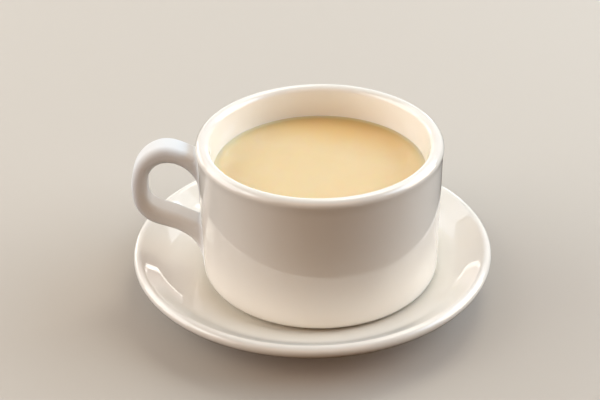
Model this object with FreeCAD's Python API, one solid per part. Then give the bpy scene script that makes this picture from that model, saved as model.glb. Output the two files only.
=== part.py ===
"""A thick-walled porcelain cup of milk tea standing on its saucer.

Three solids: the saucer, the cup with its loop handle in one piece, and the tea that fills the cup
to just under its rim. Everything round is one half section turned about an upright axis. The handle
is its own side outline given the strap's width, with its four long edges rounded.

Units are millimetres and +Z is up. The origin is on the table under the middle of the saucer. The
cup stands a little off the saucer's middle, and its handle points along -X.
"""

import FreeCAD, Part
import math
import os

os.makedirs("parts", exist_ok=True)

Vector = FreeCAD.Vector
UP = Vector(0, 0, 1)

# Saucer
SAUCER_RADIUS = 71.3
SAUCER_EDGE_RADIUS = 2.3
SAUCER_EDGE_HEIGHT = 16.45
WELL_HEIGHT = 7.5
WELL_THICKNESS = 4.2
WELL_BEND_RADIUS = 25.0
FLANK_SLOPE = math.radians(19.5)
TURN_UP_RADIUS = 59.5
TURN_UP_BEND_RADIUS = 30.0
EDGE_SLOPE = math.radians(32)
UNDERSIDE_SLOPE = math.radians(22)
SAUCER_FOOT_OUTER = 43.0
SAUCER_FOOT_INNER = 38.5
FOOT_BLEND_RADIUS = 4.0
FOOT_EDGE_RADIUS = 1.2

# Cup, with heights counted from the bottom of its foot ring
CUP_CENTRE = Vector(3.2, -1.2, WELL_HEIGHT)
CUP_RIM_RADIUS = 47.5
LIP_RADIUS = 2.6
LIP_HEIGHT = 56.5
WALL_TOP_RADIUS = 47.2
WALL_BOTTOM_RADIUS = 46.7
WALL_CORNER_RADIUS = 4.0
CUP_FOOT_HEIGHT = 1.6
CUP_FOOT_OUTER = 34.0
CUP_FOOT_INNER = 30.0
CUP_FLOOR_HEIGHT = 7.5
INSIDE_BOTTOM_RADIUS = 37.5
INSIDE_CORNER_RADIUS = 14.0

# Tea
TEA_LEVEL = 45.9
TEA_RADIUS = 40.9

# Handle
STRAP_HALF_WIDTH = 5.75
STRAP_EDGE_RADIUS = 2.9
ROOT_FILLET_RADIUS = 1.5
# Side outline of the handle: distance out from the cup's axis, and height above the cup's foot. Both
# lines start inside the wall under the lip, go round the loop and end inside the wall near the foot.
# The outer one is the outside of the loop, the inner one is the edge of the finger hole. The strap
# spreads downwards at both of its roots.
OUTER_OUTLINE = [
    (44.6, 52.4), (50.5, 55.5), (58.8, 58.1), (65.2, 56.1), (70.8, 49.7), (72.9, 39.9),
    (71.6, 31.2), (66.6, 25.3), (59.3, 22.3), (54.0, 19.7), (49.6, 15.2), (47.0, 10.0), (44.6, 6.5),
]
INNER_OUTLINE = [
    (44.6, 39.2), (47.0, 42.2), (48.6, 44.8), (52.8, 49.3), (58.2, 51.2), (62.8, 49.8),
    (65.6, 46.1), (66.7, 39.9), (66.0, 34.0), (62.4, 30.9), (56.8, 28.7), (51.7, 26.1), (44.6, 22.6),
]
TOLERANCE = 0.01


def section_point(radius, height):
    """A point of a half section, in the plane of the X and Z axes."""
    return Vector(radius, 0, height)


def turned(edges, centre):
    """The solid swept by a closed half section about an upright axis through centre."""
    face = Part.Face(Part.Wire(Part.__sortEdges__(edges)))
    solid = face.revolve(Vector(0, 0, 0), UP, 360)
    solid.translate(centre)
    return solid


def section_path(corners):
    """The edges through corners given as (radius, height, rounding).

    A corner with a rounding is replaced by the arc of that radius that touches both its edges.
    """
    points = [section_point(radius, height) for radius, height, rounding in corners]
    edges = []
    start = points[0]
    for index in range(1, len(points) - 1):
        corner = points[index]
        rounding = corners[index][2]
        if rounding == 0:
            edges.append(Part.makeLine(start, corner))
            start = corner
            continue
        to_before = (points[index - 1] - corner).normalize()
        to_after = (points[index + 1] - corner).normalize()
        half_angle = to_before.getAngle(to_after) / 2
        setback = rounding / math.tan(half_angle)
        enter = corner + to_before * setback
        leave = corner + to_after * setback
        inwards = (to_before + to_after).normalize()
        middle = corner + inwards * (rounding / math.sin(half_angle) - rounding)
        edges.append(Part.makeLine(start, enter))
        edges.append(Part.Arc(enter, middle, leave).toShape())
        start = leave
    edges.append(Part.makeLine(start, points[-1]))
    return edges


def on_round_edge(centre_radius, centre_height, radius, angle):
    """The (radius, height) of a point on a rounded edge, at an angle about the edge's centre."""
    return centre_radius + radius * math.cos(angle), centre_height + radius * math.sin(angle)


def round_edge(centre_radius, centre_height, radius, start_angle, end_angle):
    """The section of a rounded edge, from start_angle to end_angle about its centre."""
    angles = (start_angle, (start_angle + end_angle) / 2, end_angle)
    points = [on_round_edge(centre_radius, centre_height, radius, angle) for angle in angles]
    return Part.Arc(*[section_point(*point) for point in points]).toShape()


def axis_line(low, high):
    """The piece of the turning axis that closes a half section."""
    return Part.makeLine(section_point(0, low), section_point(0, high))


def make_saucer():
    """A saucer with a flat well, a flank that turns up, and a thick rounded edge, on a foot ring."""
    edge_circle = (SAUCER_RADIUS - SAUCER_EDGE_RADIUS, SAUCER_EDGE_HEIGHT, SAUCER_EDGE_RADIUS)
    top_angle = EDGE_SLOPE + math.pi / 2
    under_angle = UNDERSIDE_SLOPE - math.pi / 2
    top_radius, top_height = on_round_edge(*edge_circle, top_angle)
    under_radius, under_height = on_round_edge(*edge_circle, under_angle)
    turn_up_height = top_height - (top_radius - TURN_UP_RADIUS) * math.tan(EDGE_SLOPE)
    flank_start = TURN_UP_RADIUS - (turn_up_height - WELL_HEIGHT) / math.tan(FLANK_SLOPE)
    foot_top = under_height - (under_radius - SAUCER_FOOT_OUTER) * math.tan(UNDERSIDE_SLOPE)
    well_underside = WELL_HEIGHT - WELL_THICKNESS
    upper_side = section_path(
        [
            (0, WELL_HEIGHT, 0),
            (flank_start, WELL_HEIGHT, WELL_BEND_RADIUS),
            (TURN_UP_RADIUS, turn_up_height, TURN_UP_BEND_RADIUS),
            (top_radius, top_height, 0),
        ]
    )
    under_side = section_path(
        [
            (under_radius, under_height, 0),
            (SAUCER_FOOT_OUTER, foot_top, FOOT_BLEND_RADIUS),
            (SAUCER_FOOT_OUTER, 0, FOOT_EDGE_RADIUS),
            (SAUCER_FOOT_INNER, 0, FOOT_EDGE_RADIUS),
            (SAUCER_FOOT_INNER, well_underside, FOOT_EDGE_RADIUS),
            (0, well_underside, 0),
        ]
    )
    edge = round_edge(*edge_circle, top_angle, under_angle)
    axis = axis_line(well_underside, WELL_HEIGHT)
    return turned([axis, edge] + upper_side + under_side, Vector(0, 0, 0))


def inside_wall(above_tea=()):
    """The cup's inside, from the middle of its floor up to the tea's level and any corners above."""
    corners = [
        (0, CUP_FLOOR_HEIGHT, 0),
        (INSIDE_BOTTOM_RADIUS, CUP_FLOOR_HEIGHT, INSIDE_CORNER_RADIUS),
        (TEA_RADIUS, TEA_LEVEL, 0),
    ]
    return section_path(corners + list(above_tea))


def make_body():
    """The cup without its handle: a rounded lip, a nearly upright outside and a low foot ring."""
    lip_circle = (CUP_RIM_RADIUS - LIP_RADIUS, LIP_HEIGHT, LIP_RADIUS)
    outwards = lip_circle[0] - TEA_RADIUS
    upwards = LIP_HEIGHT - TEA_LEVEL
    inside_lean = math.atan2(outwards, upwards) - math.asin(LIP_RADIUS / math.hypot(outwards, upwards))
    inner_angle = math.pi - inside_lean
    outer_angle = -math.acos((WALL_TOP_RADIUS - lip_circle[0]) / LIP_RADIUS)
    inner_touch = on_round_edge(*lip_circle, inner_angle)
    outer_touch = on_round_edge(*lip_circle, outer_angle)
    outside = section_path(
        [
            (*outer_touch, 0),
            (WALL_BOTTOM_RADIUS, CUP_FOOT_HEIGHT, WALL_CORNER_RADIUS),
            (CUP_FOOT_OUTER, CUP_FOOT_HEIGHT, 0),
            (CUP_FOOT_OUTER, 0, 0),
            (CUP_FOOT_INNER, 0, 0),
            (CUP_FOOT_INNER, CUP_FOOT_HEIGHT, 0),
            (0, CUP_FOOT_HEIGHT, 0),
        ]
    )
    lip = round_edge(*lip_circle, inner_angle, outer_angle)
    axis = axis_line(CUP_FOOT_HEIGHT, CUP_FLOOR_HEIGHT)
    return turned([axis, lip] + inside_wall([(*inner_touch, 0)]) + outside, CUP_CENTRE)


def outline_edge(points):
    """One smooth line of the handle's side outline, on the near side of the strap."""
    spline = Part.BSplineCurve()
    spline.interpolate([Vector(-out, -STRAP_HALF_WIDTH, height) for out, height in points])
    return spline.toShape()


def runs_along_strap(edge):
    """True for the strap's four long edges, which lie in its two flat sides."""
    box = edge.BoundBox
    in_a_side = box.YLength < TOLERANCE and abs(abs(box.YMin) - STRAP_HALF_WIDTH) < TOLERANCE
    return in_a_side and not isinstance(edge.Curve, Part.Line)


def make_handle():
    """The strap handle, whose two roots reach into the cup's wall."""
    outer = outline_edge(OUTER_OUTLINE)
    inner = outline_edge(INNER_OUTLINE)
    upper_root = Part.makeLine(outer.firstVertex().Point, inner.firstVertex().Point)
    lower_root = Part.makeLine(outer.lastVertex().Point, inner.lastVertex().Point)
    side = Part.Face(Part.Wire(Part.__sortEdges__([outer, lower_root, inner, upper_root])))
    strap = side.extrude(Vector(0, 2 * STRAP_HALF_WIDTH, 0))
    strap = strap.makeFillet(STRAP_EDGE_RADIUS, [e for e in strap.Edges if runs_along_strap(e)])
    strap.translate(CUP_CENTRE)
    return strap


def joins_strap_to_wall(edge):
    """True for an edge that lies on the cup's outer wall, where the strap meets it."""
    ends = [vertex.Point - CUP_CENTRE for vertex in edge.Vertexes]
    on_wall = all(
        WALL_BOTTOM_RADIUS - TOLERANCE < math.hypot(end.x, end.y) < WALL_TOP_RADIUS + TOLERANCE
        and abs(end.y) < STRAP_HALF_WIDTH + TOLERANCE
        for end in ends
    )
    return on_wall and all(end.x < 0 and CUP_FOOT_HEIGHT < end.z < LIP_HEIGHT for end in ends)


def make_cup():
    """The body and its handle as one solid, with a small fillet all round the strap's roots."""
    cup = make_body().fuse(make_handle()).removeSplitter()
    root_edges = [edge for edge in cup.Edges if joins_strap_to_wall(edge)]
    return cup.makeFillet(ROOT_FILLET_RADIUS, root_edges).Solids[0]


def make_tea():
    """The tea: all the room inside the cup, up to its level surface."""
    surface = Part.makeLine(section_point(TEA_RADIUS, TEA_LEVEL), section_point(0, TEA_LEVEL))
    return turned(inside_wall() + [surface, axis_line(CUP_FLOOR_HEIGHT, TEA_LEVEL)], CUP_CENTRE)


PIECES = {"saucer": make_saucer(), "cup": make_cup(), "tea": make_tea()}
for name, solid in PIECES.items():
    solid.exportStep(f"parts/{name}.step")
    box = solid.optimalBoundingBox()
    print(
        f"{name}: {solid.ShapeType}, valid {solid.isValid()}, {solid.Volume / 1000:.1f} cm3, "
        f"x {box.XMin:.2f} to {box.XMax:.2f}, y {box.YMin:.2f} to {box.YMax:.2f}, "
        f"z {box.ZMin:.2f} to {box.ZMax:.2f}"
    )
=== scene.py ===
# %% [markdown]
# # A cup of milky tea on its saucer
#
# A plain porcelain tea cup, filled to a little below its rim, stands on a saucer with a raised edge.
# Three pieces show: the saucer, the cup with its handle, and the tea. The measured model is the
# fixed frame. This lesson builds each piece's finished surface in that frame and gives it its glaze.

# %% Load the frame
import math

import bmesh
import bpy
import numpy as np
from mathutils import Matrix, Vector
from mathutils.kdtree import KDTree


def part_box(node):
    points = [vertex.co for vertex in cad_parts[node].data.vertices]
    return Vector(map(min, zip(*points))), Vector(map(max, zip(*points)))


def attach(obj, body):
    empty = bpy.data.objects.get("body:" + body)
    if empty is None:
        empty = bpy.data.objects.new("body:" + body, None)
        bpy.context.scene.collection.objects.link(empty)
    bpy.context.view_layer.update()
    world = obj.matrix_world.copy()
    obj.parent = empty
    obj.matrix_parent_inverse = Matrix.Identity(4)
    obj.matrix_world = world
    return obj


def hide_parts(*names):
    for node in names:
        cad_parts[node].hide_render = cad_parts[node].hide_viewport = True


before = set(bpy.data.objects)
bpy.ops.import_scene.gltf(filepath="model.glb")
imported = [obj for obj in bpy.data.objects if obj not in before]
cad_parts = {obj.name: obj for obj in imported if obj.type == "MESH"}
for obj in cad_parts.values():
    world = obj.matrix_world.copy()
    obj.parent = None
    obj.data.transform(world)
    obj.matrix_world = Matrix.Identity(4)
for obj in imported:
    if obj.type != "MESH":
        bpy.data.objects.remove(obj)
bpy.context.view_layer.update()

MM = 0.001
scene = bpy.context.scene
for node in ("saucer", "cup", "tea"):
    low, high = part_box(node)
    corners = [[round(value / MM, 2) for value in corner] for corner in (low, high)]
    print(node, "from", corners[0], "to", corners[1], "mm")

# %% [markdown]
# ## Where the pieces stand
#
# The tea fills the cup, so the middle of its box is the cup's own upright axis, and its top is the
# level. The cup stands on the saucer's well, a little off the middle. Radii and heights below are
# in millimetres; the cup's heights count from the bottom of its foot ring.

# %% Axes and levels
saucer_low, saucer_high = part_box("saucer")
cup_low, cup_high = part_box("cup")
tea_low, tea_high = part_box("tea")
SAUCER_AXIS = Vector((0, 0, 0))
CUP_AXIS = Vector(((tea_low.x + tea_high.x) / 2, (tea_low.y + tea_high.y) / 2, cup_low.z))
SAUCER_RADIUS = min(-saucer_low.x, saucer_high.x) / MM
TEA_LEVEL = (tea_high.z - cup_low.z) / MM
print("cup axis", [round(value / MM, 2) for value in CUP_AXIS], "saucer radius", round(SAUCER_RADIUS, 2))
print("tea level", round(TEA_LEVEL, 2), "mm above the cup's foot")

# %% [markdown]
# ## The camera
#
# The camera looks down at the cup from the front at about 31 degrees, from a little over half a
# metre away, with a short telephoto lens. It is set first, so that every later step can be seen.

# %% Camera
CAMERA_PLACE = Vector((-0.00457, -0.46876, 0.32569))
CAMERA_PITCH = math.radians(31.52)
CAMERA_ROLL = math.radians(-0.88)

camera_data = bpy.data.cameras.new("Camera")
camera_data.lens = 84
camera_data.sensor_width = 36
camera = bpy.data.objects.new("Camera", camera_data)
camera.matrix_world = (
    Matrix.Translation(CAMERA_PLACE)
    @ Matrix.Rotation(math.pi / 2 - CAMERA_PITCH, 4, "X")
    @ Matrix.Rotation(CAMERA_ROLL, 4, "Z")
)
scene.collection.objects.link(camera)
scene.camera = camera
print("camera", round((CAMERA_PLACE - CUP_AXIS).length, 3), "m from the cup's foot")

# %% [markdown]
# ## Nodes written as expressions
#
# Both the shapes and the finishes are made of nodes. A small class wraps one output of a node, so
# that adding or multiplying wires adds the Math node that does it. Every other node comes from one
# method that takes its type, its settings and what goes into its sockets. The patterns, blends and
# bumps that the finishes share are short calls of that method.


# %% A wire and a board of nodes
class Wire:
    """One output of a node. Arithmetic on wires adds Math nodes."""

    def __init__(self, board, socket):
        self.board = board
        self.socket = socket

    def maths(self, operation, *others):
        """This wire, and any others with it, put through a Math node."""
        values = dict(enumerate((self, *others)))
        return self.board.node("ShaderNodeMath", {"operation": operation}, values)

    def __add__(self, other):
        return self.maths("ADD", other)

    def __sub__(self, other):
        return self.maths("SUBTRACT", other)

    def __rsub__(self, other):
        return self * -1 + other

    def __mul__(self, other):
        return self.maths("MULTIPLY", other)

    def __truediv__(self, other):
        return self.maths("DIVIDE", other)

    __radd__ = __add__
    __rmul__ = __mul__


class Board:
    """A node tree that is being wired."""

    def __init__(self, tree):
        self.tree = tree

    def node(self, kind, settings=None, sockets=None, result=0):
        """Adds a node and returns the wire of one of its outputs, if it has any."""
        made = self.tree.nodes.new(kind)
        for name, value in (settings or {}).items():
            setattr(made, name, value)
        for name, value in (sockets or {}).items():
            entry = self.socket_of(made.inputs, name)
            if isinstance(value, Wire):
                self.tree.links.new(value.socket, entry)
            else:
                entry.default_value = value
        return Wire(self, self.socket_of(made.outputs, result)) if len(made.outputs) else None

    def socket_of(self, sockets, name):
        """A node's socket by its name, or by its number among all of them."""
        if isinstance(name, int):
            return sockets[name]
        return next(socket for socket in sockets if socket.enabled and socket.name == name)

    def noise(self, place, scale, detail, distortion=0):
        """A soft random pattern between 0 and 1."""
        sockets = {"Vector": place, "Scale": scale, "Detail": detail, "Distortion": distortion}
        return self.node("ShaderNodeTexNoise", None, sockets, "Fac")

    def rise(self, value, start, full, height=1, smooth=True):
        """A value's climb from 0 at start to height at full, held level beyond both."""
        settings = {"interpolation_type": "SMOOTHSTEP" if smooth else "LINEAR"}
        sockets = {"Value": value, "From Min": start, "From Max": full, "To Max": height}
        return self.node("ShaderNodeMapRange", settings, sockets)

    def blend(self, share, colour, other):
        """A colour mixed with a share of another."""
        sockets = {"Factor": share, "A": colour, "B": other}
        return self.node("ShaderNodeMix", {"data_type": "RGBA"}, sockets, "Result")

    def relief(self, height, depth):
        """A bump of a height between 0 and 1, where 1 stands for a depth in mm."""
        return self.node("ShaderNodeBump", None, {"Strength": 1, "Distance": depth * MM, "Height": height})

    def from_axis(self, place):
        """The level offset of a place from the cup's axis."""
        settings = {"operation": "MULTIPLY_ADD"}
        sockets = {0: place, 1: (1, 1, 0), 2: (-CUP_AXIS.x, -CUP_AXIS.y, 0)}
        return self.node("ShaderNodeVectorMath", settings, sockets)

    def length(self, vector):
        """The length of a vector."""
        return self.node("ShaderNodeVectorMath", {"operation": "LENGTH"}, {0: vector}, "Value")


# %% [markdown]
# ## Turned pieces
#
# The saucer, the cup's body and the tea are all round, as a potter's wheel or a jigger makes them:
# one half section turned about an upright axis. A Screw modifier or Spin could sweep it too. Here a
# Geometry Nodes tree does it, so that one rule with named sizes makes all three. It lays a grid with
# one column for each step of the turn and one row for each point of the section, bends it round the
# axis, and merges the seam and the poles.


# %% The lathe, as a node tree
def make_lathe():
    """A node tree that turns the points of a half section about an upright axis."""
    tree = bpy.data.node_groups.new("Lathe", "GeometryNodeTree")
    for name, kind in (
        ("Half Section", "NodeSocketGeometry"),
        ("Turns", "NodeSocketInt"),
        ("Axis", "NodeSocketVector"),
        ("Seam Gap", "NodeSocketFloat"),
        ("Material", "NodeSocketMaterial"),
    ):
        tree.interface.new_socket(name, in_out="INPUT", socket_type=kind)
    tree.interface.new_socket("Piece", in_out="OUTPUT", socket_type="NodeSocketGeometry")
    board = Board(tree)

    def given(name):
        """One of the tree's own inputs."""
        return board.node("NodeGroupInput", result=name)

    rows = board.node("GeometryNodeAttributeDomainSize", None, {"Geometry": given("Half Section")})
    index = board.node("GeometryNodeInputIndex")
    column = (index / rows).maths("FLOOR")
    row = index - column * rows
    angle = column * math.tau / given("Turns")
    point = board.node(
        "GeometryNodeSampleIndex",
        {"data_type": "FLOAT_VECTOR", "domain": "POINT"},
        {
            "Geometry": given("Half Section"),
            "Value": board.node("GeometryNodeInputPosition"),
            "Index": row,
        },
    )
    radius = board.node("ShaderNodeSeparateXYZ", None, {"Vector": point}, "X")
    height = board.node("ShaderNodeSeparateXYZ", None, {"Vector": point}, "Z")
    around = board.node(
        "ShaderNodeCombineXYZ",
        None,
        {
            "X": radius * angle.maths("COSINE"),
            "Y": radius * angle.maths("SINE"),
            "Z": height,
        },
    )
    place = board.node("ShaderNodeVectorMath", {"operation": "ADD"}, {0: around, 1: given("Axis")})
    sheet = board.node(
        "GeometryNodeMeshGrid", None, {"Vertices X": given("Turns") + 1, "Vertices Y": rows}
    )
    bent = board.node("GeometryNodeSetPosition", None, {"Geometry": sheet, "Position": place})
    closed = board.node(
        "GeometryNodeMergeByDistance", None, {"Geometry": bent, "Distance": given("Seam Gap")}
    )
    smooth = board.node("GeometryNodeSetShadeSmooth", None, {"Geometry": closed})
    whole = board.node("GeometryNodeRealizeInstances", None, {"Geometry": smooth})
    finished = board.node(
        "GeometryNodeSetMaterial", None, {"Geometry": whole, "Material": given("Material")}
    )
    board.node("NodeGroupOutput", None, {"Piece": finished})
    return tree


LATHE = make_lathe()
COLUMNS = 360
print("lathe tree with", len(LATHE.nodes), "nodes")


# %% Turning a section into a plain mesh
def turned(name, section, axis, material):
    """A piece whose half section, given as (radius, height) in mm, is turned about an axis."""
    line = bpy.data.meshes.new(name)
    line.from_pydata([(radius * MM, 0, height * MM) for radius, height in section], [], [])
    piece = bpy.data.objects.new(name, line)
    scene.collection.objects.link(piece)
    lathe = piece.modifiers.new("Lathe", "NODES")
    lathe.node_group = LATHE
    sizes = {"Turns": COLUMNS, "Axis": axis, "Seam Gap": 1e-6, "Material": material}
    for item in LATHE.interface.items_tree:
        if item.name in sizes:
            lathe[item.identifier] = sizes[item.name]
    evaluated = piece.evaluated_get(bpy.context.evaluated_depsgraph_get())
    solid = bpy.data.meshes.new_from_object(evaluated)
    piece.modifiers.remove(lathe)
    piece.data = solid
    print(name, "has", len(section), "rows and", len(solid.polygons), "faces")
    return piece


# %% [markdown]
# ## Half sections
#
# Pressed and cast ware has no sharp corners: the glaze runs off them. A section is therefore drawn
# as straight runs with a rounding at each corner, and sampled at an even spacing, because even
# faces give an even shine.


# %% Sampling a section
def run(start, end, spacing):
    """The points after start, evenly spaced up to end."""
    steps = max(1, round((end - start).length / spacing))
    return [start.lerp(end, step / steps) for step in range(1, steps + 1)]


def arc(centre, radius, start_angle, end_angle, steps):
    """The points of an arc after its start, with angles in radians."""
    angles = [start_angle + (end_angle - start_angle) * step / steps for step in range(1, steps + 1)]
    return [centre + radius * Vector((math.cos(angle), math.sin(angle))) for angle in angles]


def rounded_path(corners, spacing, arc_steps=8):
    """Points along the runs between (radius, height, rounding) corners."""
    points = [Vector(corner[:2]) for corner in corners]
    path = [points[0]]
    for index in range(1, len(points) - 1):
        corner, rounding = points[index], corners[index][2]
        back = (points[index - 1] - corner).normalized()
        ahead = (points[index + 1] - corner).normalized()
        half_angle = back.angle(ahead) / 2
        setback = rounding / math.tan(half_angle)
        path += run(path[-1], corner + back * setback, spacing)
        if rounding:
            centre = corner + (back + ahead).normalized() * rounding / math.sin(half_angle)
            enter, leave = corner + back * setback - centre, corner + ahead * setback - centre
            start = math.atan2(enter.y, enter.x)
            sweep = math.remainder(math.atan2(leave.y, leave.x) - start, math.tau)
            path += arc(centre, rounding, start, start + sweep, arc_steps)
    return path + run(path[-1], points[-1], spacing)


# %% [markdown]
# ## Glazed porcelain
#
# The ware is a warm white body under a clear, glossy glaze. Real glaze is never one flat colour: it
# clouds a little from place to place, and it lies in very shallow waves that make reflections wander.
# Near the cup's axis the colour is painted darker and warmer. This is painted shade round the cup's
# foot on the saucer, where the cup shades it, and on the cup's floor and underside. The foot rings are
# wiped bare before the firing, so they stay matt and slightly darker. Object coordinates carry all of
# it, so the pattern stays put on the piece.


# %% Porcelain
PORCELAIN_WHITE = (0.90, 0.862, 0.795, 1)
PORCELAIN_SHADE = (0.88, 0.835, 0.76, 1)
# Painted shade: the darker, warmer colour laid round the cup's foot on the saucer and near the cup's axis.
PAINTED_SHADE_COLOUR = (0.84, 0.78, 0.68, 1)
BARE_BISCUIT = (0.66, 0.60, 0.52, 1)
GLAZE_ROUGHNESS = 0.02
BISCUIT_ROUGHNESS = 0.7
GLAZE_INDEX = 1.75
BARE_BLEND = 0.2
SAUCER_PAINTED_SHADE_RADIUS = 60
CUP_PAINTED_SHADE_RADIUS = 30
PAINTED_SHADE_BLEND = 14
PAINTED_SHADE_STRENGTH = 0.7
GLAZE_RELIEF = 0.05


def glazed_porcelain(name, foot_height, painted_shade_radius):
    """Clear-glazed white ware, bare below a height and with painted shade inside a radius, both in mm."""
    material = bpy.data.materials.new(name)
    material.use_nodes = True
    material.node_tree.nodes.clear()
    board = Board(material.node_tree)
    place = board.node("ShaderNodeTexCoord", result="Object")
    height = board.node("ShaderNodeSeparateXYZ", None, {"Vector": place}, "Z")
    bare = board.rise(height, (foot_height + BARE_BLEND) * MM, foot_height * MM)
    clouding = board.rise(board.noise(place, scale=35, detail=3), 0.3, 0.7, smooth=False)
    glaze = board.blend(clouding * 0.5, PORCELAIN_WHITE, PORCELAIN_SHADE)
    radius = board.length(board.from_axis(place))
    # Painted shade near the cup's axis, strongest inside a radius, where the cup shades the saucer's well.
    painted_shade = board.rise(radius, painted_shade_radius * MM, (painted_shade_radius - PAINTED_SHADE_BLEND) * MM, PAINTED_SHADE_STRENGTH)
    shaded_glaze = board.blend(painted_shade, glaze, PAINTED_SHADE_COLOUR)
    colour = board.blend(bare, shaded_glaze, BARE_BISCUIT)
    roughness = (1 + clouding) * GLAZE_ROUGHNESS * (1 - bare) + bare * BISCUIT_ROUGHNESS
    waves = board.noise(place, scale=70, detail=1)
    orange_peel = board.noise(place, scale=420, detail=2) * 0.06
    grain = board.noise(place, scale=2500, detail=2) * bare * 0.2
    bump = board.relief(waves + orange_peel + grain, GLAZE_RELIEF)
    shader = board.node(
        "ShaderNodeBsdfPrincipled",
        None,
        {"Base Color": colour, "Roughness": roughness, "IOR": GLAZE_INDEX, "Normal": bump},
    )
    board.node("ShaderNodeOutputMaterial", None, {"Surface": shader})
    return material


SAUCER_GLAZE = glazed_porcelain("Saucer porcelain", saucer_low.z / MM, SAUCER_PAINTED_SHADE_RADIUS)
CUP_GLAZE = glazed_porcelain("Cup porcelain", cup_low.z / MM, CUP_PAINTED_SHADE_RADIUS)
for glaze in (SAUCER_GLAZE, CUP_GLAZE):
    print(glaze.name, "has", len(glaze.node_tree.nodes), "nodes")

# %% [markdown]
# ## The saucer
#
# A saucer is jiggered over a mould: a flat well, a flank that rises at about 20 degrees and turns up
# to 32 degrees near its top, and a thick, evenly rounded edge, with a foot ring turned on the
# underside. It could be modelled from a disc by pulling rings of faces. Turning its section is
# quicker, keeps every wall its true thickness, and gives the flank the even curve that shows in its
# reflections.

# %% Saucer
SAUCER_EDGE_RADIUS = 2.3
SAUCER_EDGE_HEIGHT = 16.45
WELL_HEIGHT = cup_low.z / MM
WELL_THICKNESS = 4.2
WELL_BEND_RADIUS = 25.0
FLANK_SLOPE = math.radians(19.5)
TURN_UP_RADIUS = 59.5
TURN_UP_BEND_RADIUS = 30.0
EDGE_SLOPE = math.radians(32)
UNDERSIDE_SLOPE = math.radians(22)
SAUCER_FOOT_OUTER = 43.0
SAUCER_FOOT_INNER = 38.5


def saucer_section():
    """The saucer's half section, from the middle of its underside round to the well."""
    edge = Vector((SAUCER_RADIUS - SAUCER_EDGE_RADIUS, SAUCER_EDGE_HEIGHT))
    under = edge + Vector((math.sin(UNDERSIDE_SLOPE), -math.cos(UNDERSIDE_SLOPE))) * SAUCER_EDGE_RADIUS
    top = edge - Vector((math.sin(EDGE_SLOPE), -math.cos(EDGE_SLOPE))) * SAUCER_EDGE_RADIUS
    turn_up_height = top.y - (top.x - TURN_UP_RADIUS) * math.tan(EDGE_SLOPE)
    flank_start = TURN_UP_RADIUS - (turn_up_height - WELL_HEIGHT) / math.tan(FLANK_SLOPE)
    underside = WELL_HEIGHT - WELL_THICKNESS
    foot_top = under.y - (under.x - SAUCER_FOOT_OUTER) * math.tan(UNDERSIDE_SLOPE)
    below = rounded_path(
        [
            (0, underside, 0),
            (SAUCER_FOOT_INNER, underside, 1.2),
            (SAUCER_FOOT_INNER, 0, 1.2),
            (SAUCER_FOOT_OUTER, 0, 1.2),
            (SAUCER_FOOT_OUTER, foot_top, 4.0),
            (*under, 0),
        ],
        spacing=2.0,
    )
    round_edge = arc(edge, SAUCER_EDGE_RADIUS, UNDERSIDE_SLOPE - math.pi / 2, EDGE_SLOPE + math.pi / 2, 20)
    above = rounded_path(
        [
            (*top, 0),
            (TURN_UP_RADIUS, turn_up_height, TURN_UP_BEND_RADIUS),
            (flank_start, WELL_HEIGHT, WELL_BEND_RADIUS),
            (0, WELL_HEIGHT, 0),
        ],
        spacing=1.5,
        arc_steps=12,
    )
    return below + round_edge + above[1:]


saucer = turned("Saucer", saucer_section(), SAUCER_AXIS, SAUCER_GLAZE)
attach(saucer, "root")
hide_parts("saucer")

# %% [markdown]
# ## The cup's body
#
# The body is cast thick, with a nearly upright outside, a bead of a lip that stands 0.3 mm proud,
# and a low foot ring. It is turned like the saucer. Its outside has evenly spaced rows, because the
# handle will be let into it there.

# %% Cup body
RIM_RADIUS = 47.5
LIP_RADIUS = 2.6
LIP_HEIGHT = (cup_high.z - cup_low.z) / MM - LIP_RADIUS
WALL_TOP_RADIUS = 47.2
WALL_BOTTOM_RADIUS = 46.7
WALL_CORNER_RADIUS = 4.0
FOOT_HEIGHT = 1.6
FOOT_OUTER = 34.0
FOOT_INNER = 30.0
FLOOR_HEIGHT = 7.5
INSIDE_BOTTOM_RADIUS = 37.5
INSIDE_CORNER_RADIUS = 14.0
TEA_RADIUS = 40.9
WALL_ROWS = np.linspace(7.0, 55.2, 63)
LIP_CENTRE = Vector((RIM_RADIUS - LIP_RADIUS, LIP_HEIGHT))
LIP_START = math.radians(-8)
LIP_TOUCH = LIP_CENTRE + LIP_RADIUS * Vector((math.cos(LIP_START), math.sin(LIP_START)))
BEAD_START = 53.0


def wall_radius(height):
    """The outside radius at a height, with the lip's bead flowing out of the straight wall."""
    lean = (WALL_TOP_RADIUS - WALL_BOTTOM_RADIUS) / (LIP_HEIGHT - FOOT_HEIGHT)
    straight = WALL_BOTTOM_RADIUS + (height - FOOT_HEIGHT) * lean
    if height <= BEAD_START:
        return straight
    length = LIP_TOUCH.y - BEAD_START
    part = (height - BEAD_START) / length
    start = WALL_BOTTOM_RADIUS + (BEAD_START - FOOT_HEIGHT) * lean
    return (
        (2 * part**3 - 3 * part**2 + 1) * start
        + (part**3 - 2 * part**2 + part) * length * lean
        + (3 * part**2 - 2 * part**3) * LIP_TOUCH.x
        + (part**3 - part**2) * length * math.tan(-LIP_START)
    )


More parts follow.
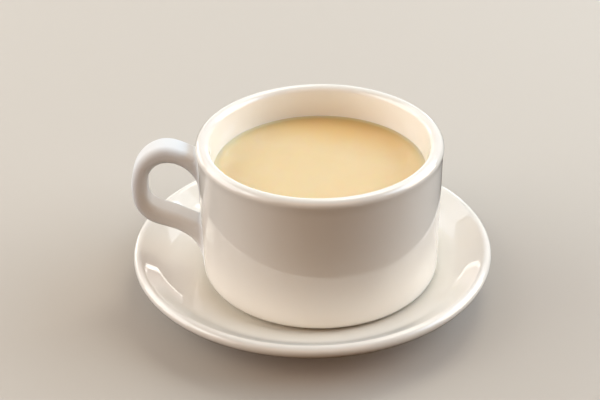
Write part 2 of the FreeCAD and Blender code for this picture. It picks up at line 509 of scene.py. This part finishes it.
def body_section():
    """The cup's half section, from the middle of its underside round to the middle of its floor."""
    underside = rounded_path(
        [
            (0, FOOT_HEIGHT, 0),
            (FOOT_INNER, FOOT_HEIGHT, 0.7),
            (FOOT_INNER, 0, 0.6),
            (FOOT_OUTER, 0, 0.6),
            (FOOT_OUTER, FOOT_HEIGHT, 0.7),
            (WALL_BOTTOM_RADIUS, FOOT_HEIGHT, WALL_CORNER_RADIUS),
            (WALL_BOTTOM_RADIUS, FOOT_HEIGHT + WALL_CORNER_RADIUS, 0),
        ],
        spacing=4.0,
        arc_steps=6,
    )
    wall = [Vector((wall_radius(height), height)) for height in WALL_ROWS]
    out, up = LIP_CENTRE.x - TEA_RADIUS, LIP_HEIGHT - TEA_LEVEL
    lean = math.atan2(out, up) - math.asin(LIP_RADIUS / math.hypot(out, up))
    lip = [LIP_TOUCH] + arc(LIP_CENTRE, LIP_RADIUS, LIP_START, math.pi - lean, steps=24)
    above_tea = run(lip[-1], Vector((TEA_RADIUS, TEA_LEVEL)), spacing=0.9)
    below_tea = rounded_path(
        [
            (TEA_RADIUS, TEA_LEVEL, 0),
            (INSIDE_BOTTOM_RADIUS, FLOOR_HEIGHT, INSIDE_CORNER_RADIUS),
            (0, FLOOR_HEIGHT, 0),
        ],
        spacing=3.0,
        arc_steps=12,
    )
    return underside + wall + lip + above_tea + below_tea[1:]


cup = turned("Cup", body_section(), CUP_AXIS, CUP_GLAZE)

# %% [markdown]
# ## The handle's shape as a rule
#
# The handle is a strap bent into a loop and luted to the wall while the clay is damp, with the slip
# smoothed into a small fillet. A boolean and a bevel could join it, but they leave ragged faces
# where the shine shows most. Instead the finished surface is written as a distance rule: the strap
# is its side outline given a width with rounded edges, the body is its half section turned, and the
# two are joined with a round fillet. Rings of faces are then laid on that surface.

# %% Distance rules
STRAP_HALF_WIDTH = 5.75
STRAP_EDGE_RADIUS = 2.9
ROOT_FILLET = 1.5
OUTER_OUTLINE = [
    (44.6, 52.4), (50.5, 55.5), (58.8, 58.1), (65.2, 56.1), (70.8, 49.7), (72.9, 39.9),
    (71.6, 31.2), (66.6, 25.3), (59.3, 22.3), (54.0, 19.7), (49.6, 15.2), (47.0, 10.0), (44.6, 6.5),
]
INNER_OUTLINE = [
    (44.6, 39.2), (47.0, 42.2), (48.6, 44.8), (52.8, 49.3), (58.2, 51.2), (62.8, 49.8),
    (65.6, 46.1), (66.7, 39.9), (66.0, 34.0), (62.4, 30.9), (56.8, 28.7), (51.7, 26.1), (44.6, 22.6),
]


def smooth_line(points, count):
    """Evenly spaced points of the natural cubic spline through points."""
    points = np.array(points)
    knots = np.concatenate(([0], np.cumsum(np.linalg.norm(np.diff(points, axis=0), axis=1))))
    gaps = np.diff(knots)[:, None]
    slopes = np.diff(points, axis=0) / gaps
    system, right = np.eye(len(points)), np.zeros_like(points)
    for row in range(1, len(points) - 1):
        before, after = gaps[row - 1, 0], gaps[row, 0]
        system[row, row - 1 : row + 2] = before, 2 * (before + after), after
        right[row] = 6 * (slopes[row] - slopes[row - 1])
    bends = np.linalg.solve(system, right)
    places = np.linspace(0, knots[-1], count)
    span = np.clip(np.searchsorted(knots, places, side="right") - 1, 0, len(points) - 2)
    gap, along = gaps[span], (places - knots[span])[:, None]
    left = gap - along
    return (
        (bends[span] * left**3 + bends[span + 1] * along**3) / (6 * gap)
        + (points[span] / gap - bends[span] * gap / 6) * left
        + (points[span + 1] / gap - bends[span + 1] * gap / 6) * along
    )


def outline_distance(points, outline):
    """Signed distance of 2-D points from a closed outline, negative inside."""
    start, end = outline, np.roll(outline, -1, axis=0)
    edge, offset = end - start, points[:, None, :] - start
    share = np.clip((offset * edge).sum(-1) / np.maximum((edge**2).sum(-1), 1e-12), 0, 1)
    nearest = np.linalg.norm(offset - share[..., None] * edge, axis=-1).min(1)
    above = start[:, 1] > points[:, 1:2], end[:, 1] > points[:, 1:2]
    crosses = above[0] != above[1]
    height = np.where(crosses, end[:, 1] - start[:, 1], 1)
    at = start[:, 0] + (points[:, 1:2] - start[:, 1]) / height * edge[:, 0]
    inside = (crosses & (points[:, :1] < at)).sum(1) % 2 == 1
    return np.where(inside, -nearest, nearest)


STRAP_OUTLINE = np.vstack([smooth_line(OUTER_OUTLINE, 100), smooth_line(INNER_OUTLINE, 90)[::-1]])
WALL_RADII = np.array([wall_radius(height) for height in WALL_ROWS])


def strap_side(points):
    """Signed distance of side-view points, as (out, up), from the strap's outline."""
    return outline_distance(points, STRAP_OUTLINE)


def strap_distance(points):
    """Distance from the strap, for points as (out from the axis, across, up) in mm."""
    side = strap_side(points[:, ::2]) + STRAP_EDGE_RADIUS
    face = np.abs(points[:, 1]) - STRAP_HALF_WIDTH + STRAP_EDGE_RADIUS
    outside = np.hypot(np.maximum(side, 0), np.maximum(face, 0))
    return np.minimum(np.maximum(side, face), 0) + outside - STRAP_EDGE_RADIUS


def wall_gap(points):
    """Distance from the body's nearly upright wall alone."""
    return np.hypot(points[:, 0], points[:, 1]) - np.interp(points[:, 2], WALL_ROWS, WALL_RADII)


def cup_distance(points):
    """Distance from the body and the strap joined by a round fillet."""
    body, strap = wall_gap(points), strap_distance(points)
    near = np.hypot(np.maximum(ROOT_FILLET - body, 0), np.maximum(ROOT_FILLET - strap, 0))
    return np.maximum(ROOT_FILLET, np.minimum(body, strap)) - near


def onto_surface(points, steps):
    """Moves points straight onto the joined surface."""
    nudge = 0.02
    for _ in range(steps):
        slope = np.column_stack(
            [cup_distance(points + nudge * axis) - cup_distance(points - nudge * axis) for axis in np.eye(3)]
        )
        slope /= np.maximum(np.linalg.norm(slope, axis=1), 1e-9)[:, None]
        points = points - cup_distance(points)[:, None] * slope
    return points


# %% [markdown]
# ## Rings along the strap
#
# The strap is covered with rings of 96 points, 24 to each side, square to its middle line. The
# middle line starts as the outer outline moved in by half the strap, and is then centred between
# the two outlines a few times. Each ring point is found by walking out from the middle until the
# distance rule says that the surface is reached.

# %% Strap rings
SIDE_STEPS = 24
RING_SPACING = 0.8
HALF_STRAP = 3.1
FARTHEST = 9
MIDDLE_POINTS = 60
CENTRING_ROUNDS = 12
CENTRING_SHARE = 0.7


def reach(start, direction, distance, longest):
    """How far along each direction the surface lies, found by halving."""
    low, high = np.zeros(len(start)), np.full(len(start), longest)
    for _ in range(24):
        middle = (low + high) / 2
        inside = distance(start + middle[:, None] * direction) < 0
        low, high = np.where(inside, middle, low), np.where(inside, high, middle)
    return (low + high) / 2


def evenly(line, count):
    """The same line with evenly spaced points."""
    length = np.concatenate(([0], np.cumsum(np.linalg.norm(np.diff(line, axis=0), axis=1))))
    places = np.linspace(0, length[-1], count)
    return np.column_stack([np.interp(places, length, line[:, axis]) for axis in range(line.shape[1])])


def across_line(line):
    """Unit vectors square to a line, pointing to the outside of the loop."""
    along = np.gradient(line, axis=0)
    along /= np.linalg.norm(along, axis=1)[:, None]
    return np.column_stack((-along[:, 1], along[:, 0]))


def middle_line():
    """The strap's middle line, from the upper root round to the lower one."""
    line = smooth_line(OUTER_OUTLINE, MIDDLE_POINTS)
    line -= across_line(line) * HALF_STRAP
    for _ in range(CENTRING_ROUNDS):
        across = across_line(line)
        out, back = (reach(line, way, strap_side, FARTHEST) for way in (across, -across))
        line[1:-1] += (across * ((out - back) / 2)[:, None])[1:-1] * CENTRING_SHARE
        line[1:-1] = (line[:-2] + 2 * line[1:-1] + line[2:]) / 4
        line = evenly(line, MIDDLE_POINTS)
    return line


def ring_shape(half_height, half_width, rounding):
    """Points round a rounded rectangle, from the middle of one of its corners."""
    corner = rounding * math.pi / 4
    shape = []
    for side, (half_run, half_rise) in enumerate([(half_width, half_height), (half_height, half_width)] * 2):
        straight = half_run - rounding
        for place in np.linspace(-straight - corner, straight + corner, SIDE_STEPS, endpoint=False):
            turn = max(abs(place) - straight, 0) / rounding * math.copysign(1, place)
            along = np.clip(place, -straight, straight) + rounding * math.sin(turn)
            rise = half_rise - rounding + rounding * math.cos(turn)
            quarter = [(along, rise), (rise, -along), (-along, -rise), (-rise, along)][side]
            shape.append(quarter)
    return np.array(shape)


MIDDLE = middle_line()
print("strap middle line", round(float(np.linalg.norm(np.diff(MIDDLE, axis=0), axis=1).sum()), 1), "mm")


# %% Rings round the strap, clear of the wall
CLEARANCE = 1
LEAST_FLAT = 0.01
SEARCH = 1.6


def ring_round(centre, across, half_height):
    """One ring of points on the strap, looked for up to SEARCH times their expected distance."""
    half_height = max(half_height, STRAP_EDGE_RADIUS + LEAST_FLAT)
    shape = ring_shape(half_height, STRAP_HALF_WIDTH, STRAP_EDGE_RADIUS)
    directions = np.column_stack((shape[:, 1] * across[0], shape[:, 0], shape[:, 1] * across[1]))
    start = np.tile((centre[0], 0, centre[1]), (len(shape), 1))
    return start + reach(start, directions, strap_distance, SEARCH)[:, None] * directions


def strap_rings():
    """Every ring that stays clear of the wall, from the upper root round to the lower one."""
    length = np.linalg.norm(np.diff(MIDDLE, axis=0), axis=1).sum()
    line = evenly(MIDDLE, round(length / RING_SPACING) + 1)
    across = across_line(line)
    out, back = (reach(line, way, strap_side, FARTHEST) for way in (across, -across))
    half = (out + back) / 2
    rings = [ring_round(*station) for station in zip(line, across, half)]
    return [ring for ring in rings if wall_gap(ring).min() > ROOT_FILLET + CLEARANCE]


RINGS = strap_rings()
print(len(RINGS), "rings clear of the wall")

# %% [markdown]
# ## Letting the handle into the wall
#
# A square of the wall, 24 faces by 24, is taken out at each root. Between the last ring of the strap
# and the edge of that opening go fifteen more bands of faces: ten run down the strap and five spread
# over the wall. Their points are moved onto the joined surface and evened out, so that the fillet
# comes from the rule and the whole cup stays one closed skin.

# %% Bands at the roots
HANDLE_COLUMN = COLUMNS // 2
UPPER_ROOT = (62, 38)
LOWER_ROOT = (0, 24)
DOWN_STRAP = np.linspace(0.1, 1.0, 10)
OVER_WALL = np.linspace(0.2, 0.8, 4)
ROOT_REACH = 12
ROOT_POINTS = 12
EVENING_ROUNDS = 10
EVENING_SHARE = 0.35


def opening_edge(outer_row, inner_row):
    """The (column, row) places round an opening in the wall, in the order of a ring's points."""
    half = SIDE_STEPS // 2
    step = 1 if inner_row > outer_row else -1
    places = [(half - count, outer_row) for count in range(SIDE_STEPS)]
    places += [(-half, outer_row + step * count) for count in range(SIDE_STEPS)]
    places += [(-half + count, inner_row) for count in range(SIDE_STEPS)]
    places += [(half, inner_row - step * count) for count in range(SIDE_STEPS)]
    return [(HANDLE_COLUMN + column, row) for column, row in places]


def wall_place(column, row):
    """A wall vertex in the strap's own directions: out from the axis, across, up."""
    angle = math.tau * column / COLUMNS
    radius = wall_radius(WALL_ROWS[row])
    return np.array((-radius * math.cos(angle), radius * math.sin(angle), WALL_ROWS[row]))


def strap_foot(centre_height, outer_side):
    """Where the bare strap would meet the wall, as one ring of points on the wall."""
    out = wall_radius(centre_height)
    start = np.array([(out, centre_height)])
    up, down = (reach(start, np.array([(0.0, way)]), strap_side, ROOT_REACH)[0] for way in (1.0, -1.0))
    centre = (out, centre_height + (up - down) / 2)
    ring = ring_round(centre, (0, outer_side), (up + down) / 2)
    radius = np.array([wall_radius(height) for height in ring[:, 2]])
    ring[:, 0] = np.sqrt(radius**2 - ring[:, 1] ** 2)
    return ring


def root_bands(ring, foot, edge):
    """The rings between the strap's last ring and the opening, on the joined surface."""
    bands = [ring] + [ring + share * (foot - ring) for share in DOWN_STRAP]
    bands += [foot + share * (edge - foot) for share in OVER_WALL] + [edge]
    bands = np.array(bands)
    inner = bands[1:-1]
    for _ in range(EVENING_ROUNDS):
        inner[:] = onto_surface(inner.reshape(-1, 3), steps=2).reshape(inner.shape)
        beside = (np.roll(bands, 1, axis=1) + np.roll(bands, -1, axis=1))[1:-1]
        inner += EVENING_SHARE * ((beside + bands[:-2] + bands[2:]) / 4 - inner)
    inner[:] = onto_surface(inner.reshape(-1, 3), steps=6).reshape(inner.shape)
    return bands


def middle_height(line):
    """The height at which the strap's middle line passes through the wall."""
    return float(np.interp(WALL_BOTTOM_RADIUS, line[:, 0], line[:, 1]))


ROOTS = []
for rows, ring, half_line, outer_side in (
    (UPPER_ROOT, RINGS[0], MIDDLE[:ROOT_POINTS], 1),
    (LOWER_ROOT, RINGS[-1], MIDDLE[::-1][:ROOT_POINTS], -1),
):
    edge = np.array([wall_place(*place) for place in opening_edge(*rows)])
    foot = strap_foot(middle_height(half_line), outer_side)
    ROOTS.append(root_bands(ring, foot, edge))
    worst = np.abs(cup_distance(ROOTS[-1][1:-1].reshape(-1, 3))).max()
    print("root bands lie within", round(float(worst), 4), "mm of the rule")


# %% One closed skin
def let_in_handle(piece):
    """Cuts the two openings in the wall and joins the handle's rings to their edges."""
    skin = bmesh.new()
    skin.from_mesh(piece.data)
    skin.verts.ensure_lookup_table()
    tree = KDTree(len(skin.verts))
    for vertex in skin.verts:
        tree.insert(vertex.co, vertex.index)
    tree.balance()

    def in_frame(place):
        """A place given as out, across and up, in the frame's metres."""
        out, across, up = (float(value) for value in place)
        return CUP_AXIS + Vector((-out, across, up)) * MM

    def wall_vertex(column, row):
        """The skin's own vertex at a column and row of the wall."""
        return skin.verts[tree.find(in_frame(wall_place(column, row)))[1]]

    edges, inside = [], set()
    for rows in (UPPER_ROOT, LOWER_ROOT):
        edges.append([wall_vertex(*place) for place in opening_edge(*rows)])
        half = SIDE_STEPS // 2
        window = {
            wall_vertex(column, row)
            for column in range(HANDLE_COLUMN - half, HANDLE_COLUMN + half + 1)
            for row in range(min(rows), max(rows) + 1)
        }
        inside |= {face for vertex in window for face in vertex.link_faces if set(face.verts) <= window}
    bmesh.ops.delete(skin, geom=list(inside), context="FACES")
    upper, lower = ROOTS
    strap = list(upper[-2::-1]) + RINGS[1:-1] + list(lower[:-1])
    rings = [[skin.verts.new(in_frame(point)) for point in ring] for ring in strap]
    bands = [edges[0]] + rings + [edges[1]]
    for here, there in zip(bands, bands[1:]):
        for step in range(len(here)):
            face = skin.faces.new((here[step - 1], here[step], there[step], there[step - 1]))
            face.smooth = True
    bmesh.ops.recalc_face_normals(skin, faces=skin.faces)
    open_edges = sum(not edge.is_manifold for edge in skin.edges)
    print(piece.name, "has", len(skin.faces), "faces and", open_edges, "open edges")
    skin.to_mesh(piece.data)
    skin.free()


let_in_handle(cup)
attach(cup, "root")
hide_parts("cup")

# %% [markdown]
# ## Milky tea
#
# Tea with milk is an opaque, softly scattering liquid: light goes in a few millimetres and comes out
# warmer. Its top is as flat and shiny as water, and where it touches the cup it creeps up the glaze
# in a meniscus about a millimetre high. The material has a water-like gloss, some scattering and very
# faint clouds of milk. A deeper amber is painted towards the far side. This is painted shade, where
# the cup's back wall shades the tea.
# The piece reaches 0.3 mm into the porcelain so that no gap shows.

# %% Tea
TEA_COLOUR = (0.81, 0.62, 0.35, 1)
TEA_CLOUD = (0.84, 0.66, 0.40, 1)
# Painted shade for the tea's far side, where the cup's back wall shades it.
TEA_PAINTED_SHADE = (0.75, 0.45, 0.15, 1)
TEA_EDGE = (0.86, 0.68, 0.42, 1)
FAR_SIDE = (0.35, 0.94, 0)
FAR_START = 10
FILM_WIDTH = 1.6
RIPPLE_RELIEF = 0.02
TEA_ROUGHNESS = 0.03
TEA_INDEX = 1.34
SCATTER_DEPTH = 8


def milky_tea():
    """Opaque tea with milk, with painted shade at the far side and paler in a thin film at the cup's wall.
    """
    material = bpy.data.materials.new("Milky tea")
    material.use_nodes = True
    material.node_tree.nodes.clear()
    board = Board(material.node_tree)
    place = board.node("ShaderNodeTexCoord", result="Object")
    level = board.from_axis(place)
    film = board.rise(board.length(level), (TEA_RADIUS - FILM_WIDTH) * MM, TEA_RADIUS * MM)
    clouds = board.noise(place, scale=45, detail=3, distortion=0.6)
    milk = board.rise(clouds, 0.35, 0.7, smooth=False)
    body = board.blend(milk * 0.6, TEA_COLOUR, TEA_CLOUD)
    # Painted shade: the tea darkens to amber towards the back right, where the back wall shades it.
    far = board.node("ShaderNodeVectorMath", {"operation": "DOT_PRODUCT"}, {0: level, 1: FAR_SIDE}, "Value")
    back_shade = board.rise(far, FAR_START * MM, TEA_RADIUS * MM)
    back_shaded_tea = board.blend(back_shade * 0.8, body, TEA_PAINTED_SHADE)
    colour = board.blend(film * 0.7, back_shaded_tea, TEA_EDGE)
    bump = board.relief(board.noise(place, scale=60, detail=0), RIPPLE_RELIEF)
    shader = board.node(
        "ShaderNodeBsdfPrincipled",
        None,
        {
            "Base Color": colour,
            "Roughness": milk * 0.02 + TEA_ROUGHNESS,
            "IOR": TEA_INDEX,
            "Subsurface Weight": 0.5,
            "Subsurface Radius": (1.0, 0.55, 0.25),
            "Subsurface Scale": SCATTER_DEPTH * MM,
            "Normal": bump,
        },
    )
    board.node("ShaderNodeOutputMaterial", None, {"Surface": shader})
    return material


INTO_WALL = 0.3
MENISCUS_RISE = 0.9
MENISCUS_LENGTH = 1.5


def tea_section():
    """The tea's half section, from under its middle, up the wall and back over its surface."""
    lean = (TEA_RADIUS - INSIDE_BOTTOM_RADIUS) / (TEA_LEVEL - FLOOR_HEIGHT)
    top = TEA_LEVEL + MENISCUS_RISE
    body = rounded_path(
        [
            (0, FLOOR_HEIGHT - INTO_WALL, 0),
            (INSIDE_BOTTOM_RADIUS + INTO_WALL, FLOOR_HEIGHT - INTO_WALL, INSIDE_CORNER_RADIUS),
            (TEA_RADIUS + MENISCUS_RISE * lean + INTO_WALL, top, 0),
        ],
        spacing=3.0,
        arc_steps=12,
    )
    depths = [0, 0.15, 0.3, 0.5, 0.75, 1.1, 1.6, 2.2, 3, 4, 5.5, 8, 12, 18, 25, 33]
    surface = [
        Vector((TEA_RADIUS - depth, TEA_LEVEL + MENISCUS_RISE * math.exp(-depth / MENISCUS_LENGTH)))
        for depth in depths
    ]
    return body + surface + [Vector((0, TEA_LEVEL))]


tea = turned("Tea", tea_section(), CUP_AXIS, milky_tea())
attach(tea, "root")
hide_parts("tea")

# %% [markdown]
# ## The studio
#
# A plain pale floor turns up far away into a backdrop. It glows softly there, because the lights
# hardly reach it and it would look dark. The floor throws no light back and does not show in the
# glaze, so the ware mirrors a dark ground, and the saucer's edge draws a clear line across the wall
# of the cup.
#
# The light is that of a bright room: a window on each side, cooler above and warmer low down, and
# one box overhead to the right. Behind the cup is a dim wall, and low on it a panel with a brighter
# top and side. The steep part of the saucer mirrors that panel, as a long highlight on the left and
# a short one on the right. The front is left dim and warm, which shades the wall of the cup and the
# near half of its inside.

# %% Floor and backdrop
FLOOR_COLOUR = (0.55, 0.50, 0.44, 1)
BACKDROP_GLOW = (0.50, 0.46, 0.41, 1)
GLOW_START = 0.7
GLOW_FULL = 1.8


def plain_floor():
    """A matt pale surface that glows softly far away, beyond the reach of the lights."""
    material = bpy.data.materials.new("Plain floor")
    material.use_nodes = True
    material.node_tree.nodes.clear()
    board = Board(material.node_tree)
    place = board.node("ShaderNodeTexCoord", result="Object")
    far = board.rise(board.length(place), GLOW_START, GLOW_FULL)
    glow = board.blend(far, (0, 0, 0, 1), BACKDROP_GLOW)
    shader = board.node(
        "ShaderNodeBsdfPrincipled",
        None,
        {"Base Color": FLOOR_COLOUR, "Roughness": 0.8, "Emission Color": glow, "Emission Strength": 1},
    )
    board.node("ShaderNodeOutputMaterial", None, {"Surface": shader})
    return material


FLOOR_LINE = [
    (0, 0), (400, 0), (1200, 0), (1900, 0),
    (2300, 120), (2600, 450), (2750, 1000), (2800, 2500),
]
floor = turned("Floor", [Vector(point) for point in FLOOR_LINE], Vector((0, 0, 0)), plain_floor())
floor.visible_shadow = False
floor.visible_diffuse = False
floor.visible_glossy = False

# %% Lights
BOX_DISTANCE = 1.2
AIM = CUP_AXIS + Vector((0, 0, 30 * MM))


def soft_box(name, azimuth, elevation, wide, high, glow):
    """A rectangular soft light aimed at the cup, as wide and high as it looks from there.

    Azimuth 0 is behind the cup and 90 is to its right. The angles are in degrees, and glow is the
    brightness of the face in red, green and blue, where 1 is a sheet of paper in plain light.
    """
    data = bpy.data.lights.new(name, "AREA")
    data.shape = "RECTANGLE"
    data.size = 2 * BOX_DISTANCE * math.tan(math.radians(wide / 2))
    data.size_y = 2 * BOX_DISTANCE * math.tan(math.radians(high / 2))
    data.energy = max(glow) * math.pi * data.size * data.size_y
    data.color = [channel / max(glow) for channel in glow]
    light = bpy.data.objects.new(name, data)
    turn, rise = math.radians(azimuth), math.radians(elevation)
    towards = Vector((math.sin(turn) * math.cos(rise), math.cos(turn) * math.cos(rise), math.sin(rise)))
    light.location = AIM + towards * BOX_DISTANCE
    light.rotation_euler = towards.to_track_quat("Z", "Y").to_euler()
    light.visible_camera = False
    scene.collection.objects.link(light)


soft_box("Right window", 80, 34, 56, 30, (3.3, 4.2, 5.0))
soft_box("Right low", 82, 10, 40, 16, (6.4, 5.2, 4.2))
soft_box("Left window", -84, 34, 56, 30, (2.7, 3.05, 3.1))
soft_box("Left low", -84, 10, 40, 16, (3.9, 3.4, 3.3))
soft_box("Left reflector", -120, 26, 30, 48, (1.3, 1.1, 1.0))
soft_box("Back left", -45, 11, 28, 18, (2.6, 2.4, 2.3))
soft_box("Back wall", 0, 25, 90, 50, (0.56, 0.54, 0.55))
soft_box("Back panel", 0, 4, 42, 14, (1.0, 0.92, 0.84))
soft_box("Panel edge", 19, 4, 4, 14, (1.9, 1.8, 1.7))
soft_box("Panel top", 0, 10.5, 42, 2.5, (1.7, 1.6, 1.5))
soft_box("Right strip", 36, 42, 24, 18, (1.3, 1.4, 1.5))
soft_box("Left strip", -36, 42, 24, 18, (1.0, 1.1, 1.25))
soft_box("Overhead", 25, 60, 25, 20, (4.5, 4.4, 3.9))
soft_box("Warm front", 180, 42, 55, 40, (1.0, 0.62, 0.34))

world = bpy.data.worlds.new("Studio")
scene.world = world
world.use_nodes = True
background = world.node_tree.nodes["Background"]
background.inputs["Color"].default_value = (0.04, 0.02, 0.01, 1)
background.inputs["Strength"].default_value = 1
scene.view_settings.view_transform = "Standard"
